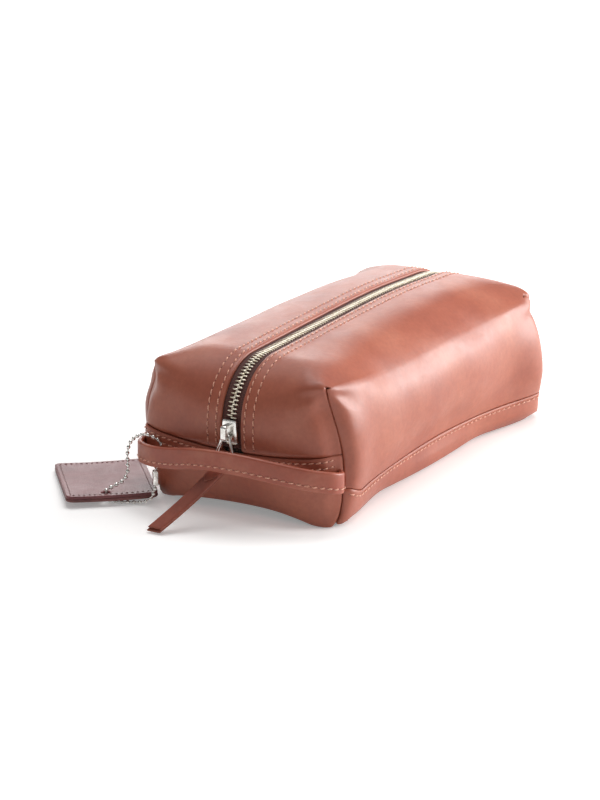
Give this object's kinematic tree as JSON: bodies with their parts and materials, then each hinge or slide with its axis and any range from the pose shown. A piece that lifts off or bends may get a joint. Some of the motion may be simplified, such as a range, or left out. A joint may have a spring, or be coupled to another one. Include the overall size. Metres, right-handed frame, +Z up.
{
  "type": "toiletry bag",
  "caption": "Boxed leather toiletry bag with a zip over the top, a wrist strap, a pull tab on a ring and a hang tag on a ball chain.",
  "frame": {"origin": "centre of the flat base, on the surface that the bag stands on", "axes": "+X along the bag away from the wrist strap, +Y towards the hang tag's side, +Z up"},
  "size_m": [0.3147, 0.1969, 0.0936],
  "materials": {
    "bag_leather": "smooth finished cowhide, satin",
    "base_leather": "smooth finished cowhide, satin",
    "strap_leather": "smooth finished cowhide, satin, cut edges",
    "tag_leather": "glazed leather",
    "lining_fabric": "twill cotton",
    "board": "plain",
    "zip_tape": "woven polyester tape",
    "zip_metal": "pale polished",
    "nickel": "nickel plated"
  },
  "bodies": {
    "bag": {"right_panel": "bag_leather", "left_panel": "bag_leather", "base_panel": "base_leather", "strap_end_band": "base_leather", "far_end_band": "base_leather", "right_lining": "lining_fabric", "left_lining": "lining_fabric", "base_board": "board", "base_lining": "lining_fabric", "corner_bindings": "lining_fabric", "zip_tape_right": "zip_tape", "zip_tape_left": "zip_tape", "zip_teeth_right": "zip_metal", "zip_teeth_left": "zip_metal", "zip_top_stops": "zip_metal", "zip_bottom_stop": "zip_metal"},
    "slider": {"slider_body": "nickel", "slider_crown": "nickel", "slider_lock_spring": "nickel"},
    "ring": {"pull_ring": "nickel"},
    "tab": {"pull_tab_front": "strap_leather", "pull_tab_back": "strap_leather"},
    "handle": {"handle_strap": "strap_leather", "handle_core": "zip_tape"},
    "chain": {"ball_chain": "nickel", "chain_coupling": "nickel"},
    "tag": {"tag_back": "tag_leather", "tag_front": "tag_leather"}
  },
  "joints": [
    {"name": "slider_travel", "type": "hinge", "parent": "bag", "child": "slider", "pos_m": [-0.098, 0, 0.051], "axis": [0, 1, 0], "range_deg": [0, 75], "deforming": ["zip_teeth_right", "zip_teeth_left", "pull_tab_front", "pull_tab_back"]},
    {"name": "ring_swing", "type": "hinge", "parent": "slider", "child": "ring", "pos_m": [-0.1382, 0, 0.0498], "axis": [0, 1, 0], "range_deg": [-14, 0]},
    {"name": "tab_swing", "type": "hinge", "parent": "ring", "child": "tab", "pos_m": [-0.1413, 0, 0.03309], "axis": [0, 1, 0], "range_deg": [-35, 0]},
    {"name": "handle_swing", "type": "hinge", "parent": "bag", "child": "handle", "pos_m": [-0.12629, 0, 0.0274], "axis": [0, 1, 0], "range_deg": [-7, 1], "stiffness_Nm_per_rad": 0.1, "springref_deg": 0.86},
    {"name": "chain_swing", "type": "hinge", "parent": "bag", "child": "chain", "pos_m": [-0.137, 0.0495, 0.0311], "axis": [0.9165, -0.4, 0], "range_deg": [0, 11]},
    {"name": "tag_swing", "type": "hinge", "parent": "chain", "child": "tag", "pos_m": [-0.166, 0.088, 0.0013], "axis": [0.6428, -0.766, 0], "range_deg": [0, 16]}
  ]
}
